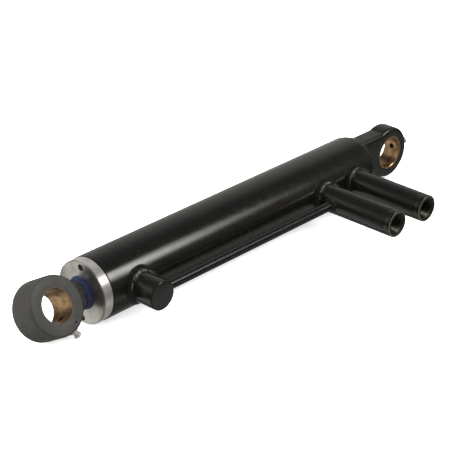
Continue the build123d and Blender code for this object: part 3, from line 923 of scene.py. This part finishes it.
def make_gland(steel):
    low, high = span("gland")
    front, inner = high.x, low.x
    barrel_end = span("barrel_tube")[1].x
    radius = half_size("gland", 2)
    bore = ROD_RADIUS + METAL_CLEARANCE
    outline = rounded(
        [
            (inner, bore),
            *groove(WEAR_RING_GROOVE, bore),
            *groove(ROD_SEAL_GROOVE, bore),
            (WIPER_GROOVE_X, bore),
            (WIPER_GROOVE_X, WIPER_RADIUS),
            (front, WIPER_RADIUS, 0.5),
            (front, radius, 1.9),
            (barrel_end, radius, 0.7),
            (barrel_end, GLAND_THREAD_RADIUS),
            (GLAND_THREAD_X, GLAND_THREAD_RADIUS),
            (GLAND_THREAD_X, BORE_RADIUS),
            *reversed(groove(O_RING_GROOVE, BORE_RADIUS)),
            (inner, BORE_RADIUS, 0.8),
        ]
    )
    gland = fine("gland", turned(outline, 192), ALONG_BARREL, steel)
    mouth = SPANNER_HOLE_RADIUS + 0.5
    hole = [
        (front - SPANNER_HOLE_DEPTH, 0),
        (front + 1, 0),
        (front + 1, mouth + 1),
        (front - 0.5, SPANNER_HOLE_RADIUS),
        (front - SPANNER_HOLE_DEPTH, SPANNER_HOLE_RADIUS),
    ]
    for side in (1, -1):
        cut(gland, turned(hole, 48), Matrix.Translation((0, 0, side * SPANNER_CIRCLE_RADIUS)))


def make_wiper(blue):
    low, high = span("rod_wiper")
    lip = ROD_RADIUS + FIT_CLEARANCE
    face = span("gland")[1].x
    outline = rounded(
        [
            (low.x, lip + 1.0),
            (low.x, WIPER_RADIUS),
            (face, WIPER_RADIUS),
            (face + 0.2, WIPER_RADIUS - 0.8, 0.2),
            (high.x - 1.4, WIPER_RADIUS - 1.2, 0.7),
            (high.x, WIPER_RADIUS - 2.3, 0.4),
            (high.x, lip, 0.2),
            (face + 2.5, lip),
            (face, lip + 1.0),
        ]
    )
    fine("rod_wiper", turned(outline, 128), ALONG_BARREL, blue)


def make_port(which, x, paint, weld_paint, bare):
    pipe_end = span(which + "_port_pipe")[1].y
    end = span(which + "_port_boss")[1].y
    spigot = span(which + "_port_boss")[0].y
    bore = PORT_PIPE_BORE_RADIUS
    pipe = rounded(
        [(0, bore), (pipe_end, bore), (pipe_end, PORT_RADIUS, 0.7), (0, PORT_RADIUS)]
    )
    piece = fine(which + "_port_pipe", turned(pipe, 96, sit_on_barrel), upright(x), paint)
    if which == "front":
        cut(piece, turned(bar(x, x + CUTTER_REACH, TUBE_RADIUS), 64), TUBE_PLACE)
    mouth_depth = PORT_MOUTH_RADIUS - PORT_THREAD_RADIUS
    thread_end = end - mouth_depth + PORT_THREAD_DEPTH
    rows = round((thread_end - spigot) / PORT_THREAD_PITCH * THREAD_ROWS_PER_TURN)
    thread = [(spigot + (thread_end - spigot) * i / rows, PORT_THREAD_RADIUS) for i in range(rows + 1)]

    def threaded(px, r, angle):
        if r > PORT_THREAD_RADIUS + 1e-6:
            return px, r
        turn = (px / PORT_THREAD_PITCH + angle / (2 * math.pi)) % 1.0
        groove = max(0.0, 1 - abs(2 * turn - 1) * 1.15)
        return px, r + PORT_THREAD_DEPTH * groove

    outline = thread + rounded(
        [
            (end - 0.1, PORT_MOUTH_RADIUS),
            (end, PORT_MOUTH_RADIUS + 0.4),
            (end, PORT_RADIUS, 1.0),
            (pipe_end, PORT_RADIUS, 0.7),
            (pipe_end, bore),
            (spigot, bore),
        ]
    )
    fine(which + "_port_boss", turned(outline, 96, threaded), upright(x), bare)
    stations = saddle_stations(upright(x), PORT_RADIUS, BARREL_RADIUS, PORT_WELD_LEGS)
    weld_bead(which + "_port_weld", stations, weld_paint, int(x))


def make_stub(paint, weld_paint):
    end = span("rod_end_stub")[1].y
    outline = rounded(
        [
            (0, STUB_BORE_RADIUS),
            (STUB_BORE_END, STUB_BORE_RADIUS),
            (STUB_BORE_END, 0),
            (end, 0),
            (end, STUB_RADIUS, 1.5),
            (0, STUB_RADIUS),
        ]
    )
    stub = fine("rod_end_stub", turned(outline, 96, sit_on_barrel), upright(STUB_X), paint)
    tube_end = span("transfer_tube")[1].x
    cut(stub, turned(bar(STUB_X - CUTTER_REACH, tube_end, TUBE_RADIUS), 64), TUBE_PLACE)
    cut(stub, turned(bar(tube_end - 1, STUB_X, TUBE_BORE_RADIUS), 48), TUBE_PLACE)
    stations = saddle_stations(upright(STUB_X), STUB_RADIUS, BARREL_RADIUS, STUB_WELD_LEGS)
    weld_bead("rod_end_stub_weld", stations, weld_paint, 11)


def make_transfer_tube(paint):
    low, high = span("transfer_tube")
    outline = [
        (low.x, TUBE_BORE_RADIUS),
        (high.x, TUBE_BORE_RADIUS),
        (high.x, TUBE_RADIUS),
        (low.x, TUBE_RADIUS),
    ]
    fine("transfer_tube", turned(outline, 64), TUBE_PLACE, paint)
    at_port = Matrix.Translation((FRONT_PORT_X, TUBE_Y, 0))
    at_stub = Matrix.Translation((STUB_X, TUBE_Y, 0)) @ HALF_TURN
    port_stations = saddle_stations(at_port, TUBE_RADIUS, PORT_RADIUS, TUBE_WELD_LEGS)
    stub_stations = saddle_stations(at_stub, TUBE_RADIUS, STUB_RADIUS, TUBE_WELD_LEGS)
    weld_bead("transfer_tube_port_weld", port_stations, paint, 13)
    weld_bead("transfer_tube_stub_weld", stub_stations, paint, 17)


def make_rod(chrome):
    low = span("rod")[0]
    shoulder = span("piston")[1].x
    outline = rounded(
        [
            (low.x, 0),
            (low.x, ROD_SPIGOT_RADIUS, 1.2),
            (shoulder, ROD_SPIGOT_RADIUS),
            (shoulder, ROD_RADIUS),
            (ROD_PIN.x, ROD_RADIUS),
            (ROD_PIN.x, 0),
        ]
    )
    rod = fine("rod", turned(outline, 128), ALONG_BARREL, chrome)
    cut(rod, turned(bar(-CUTTER_REACH, CUTTER_REACH, ROD_EYE_RADIUS), 160), ROD_EYE_FRAME)


def make_grease_fitting(node, place, zinc):
    """Straight fitting: threaded shank, hexagon and the ball head."""
    top = FITTING_HEX_LENGTH
    tip = FITTING_HEIGHT
    start = -FITTING_THREAD_LENGTH
    corner = FITTING_HEX / math.sqrt(3)
    outline = [(start, 0), (start, FITTING_THREAD_RADIUS - 0.5), (start + 0.5, FITTING_THREAD_RADIUS)]
    outline += [(0, FITTING_THREAD_RADIUS), (0, corner - 0.8)]
    outline += [(top * i / FITTING_HEX_ROWS, corner) for i in range(1, FITTING_HEX_ROWS)]
    outline += [(top, corner - 0.8)]
    outline += rounded(
        [
            (top, FITTING_NECK_RADIUS + 1.0),
            (top + 1.0, FITTING_NECK_RADIUS + 0.4, 0.4),
            (top + 3.4, FITTING_NECK_RADIUS, 0.8),
            (top + 5.0, FITTING_HEAD_RADIUS, 0.6),
            (tip - 1.6, FITTING_HEAD_RADIUS, 1.0),
            (tip, 1.7, 0.3),
            (tip, 0.8, 0.1),
            (tip - 0.5, 0.8),
            (tip - 0.3, 0),
        ]
    )

    def hexagon(x, r, angle):
        if r < corner - 1 or not 0 <= x <= top:
            return x, r
        turn = (angle + math.pi / 6) % (math.pi / 3) - math.pi / 6
        flat = FITTING_HEX / 2 / math.cos(turn)
        crown = FITTING_HEX / 2 + min(x, top - x) * 1.6
        return x, min(flat, crown)

    fine(node, turned(outline, 96, hexagon), place, zinc, 28.0)


def make_grease_fittings(zinc):
    base_seat = Matrix.Translation((span("base_eye")[0].x, 0, 0)) @ HALF_TURN
    make_grease_fitting("base_grease_fitting", base_seat, zinc)
    way = Vector(MOUNTS["rod_grease_point"]["axis"]).normalized()
    seat = ROD_PIN + way * ROD_EYE_RADIUS
    turn = way.to_track_quat("X", "Z").to_matrix().to_4x4()
    make_grease_fitting("rod_grease_fitting", Matrix.Translation(seat) @ turn, zinc)


def dress_carried_nodes(looks):
    """CAD nodes that keep their own shape take their finish here."""
    for node, material in looks.items():
        mesh = frame["nodes"][node].data
        mesh.materials.clear()
        mesh.materials.append(material)


def build():
    black = black_enamel("black_enamel", 0.17)
    satin_black = black_enamel("satin_black", 0.30)
    weld_black = black_enamel("weld_black", 0.14)
    primer = eye_primer("eye_primer", (0.0150, 0.0143, 0.0124), (0.0220, 0.0210, 0.0183))
    # Darker primer for the rod eye's weld: painted shade, standing in for the shade between the rod and
    # the eye
    shade_dark_primer = eye_primer("shade_dark_primer", (0.006, 0.006, 0.0055), (0.012, 0.0115, 0.0105))
    gland_steel = turned_steel("gland_steel", (0.70, 0.68, 0.64), 0.32, 0.90, half_size("gland", 2))
    inner_steel = turned_steel("inner_steel", (0.56, 0.55, 0.53), 0.28)
    rubber = moulded("nitrile_rubber", (0.012, 0.012, 0.012), (0.022, 0.022, 0.021), 0.55)
    nylon = moulded("seal_nylon", (0.62, 0.60, 0.52), (0.74, 0.72, 0.64), 0.42)
    phenolic = moulded("wear_phenolic", (0.20, 0.07, 0.035), (0.30, 0.11, 0.05), 0.5, 0.0009)
    make_barrel(black)
    make_base_cap(satin_black, weld_black)
    make_base_eye(satin_black, weld_black)
    make_rod_eye(primer, shade_dark_primer)
    make_gland(gland_steel)
    make_wiper(wiper_rubber())
    make_port("rear", REAR_PORT_X, black, weld_black, port_end("rear_port_steel", REAR_PORT_X))
    make_port("front", FRONT_PORT_X, black, weld_black, port_end("front_port_steel", FRONT_PORT_X))
    make_stub(black, weld_black)
    make_transfer_tube(black)
    make_rod(hard_chrome())
    make_grease_fittings(zinc_plate())
    dress_carried_nodes(
        {
            "base_eye_bushing": bronze_bush("base_bronze", (0, 0, 0), (0, 1, 0), BUSH_WALL),
            "rod_eye_bushing": bronze_bush("rod_bronze", ROD_PIN, ROD_PIN_AXIS, 0.65),
            "piston": inner_steel,
            "piston_nut": inner_steel,
            "stop_tube": inner_steel,
            "gland_o_ring": rubber,
            "rod_seal": rubber,
            "piston_o_ring": rubber,
            "piston_seal_energizer": rubber,
            "gland_backup_ring": nylon,
            "piston_seal": nylon,
            "rod_wear_ring": phenolic,
            "piston_rear_wear_ring": phenolic,
            "piston_front_wear_ring": phenolic,
        }
    )


make_camera()
make_lights()
make_floor()
build()
bpy.context.scene.view_settings.view_transform = "Standard"
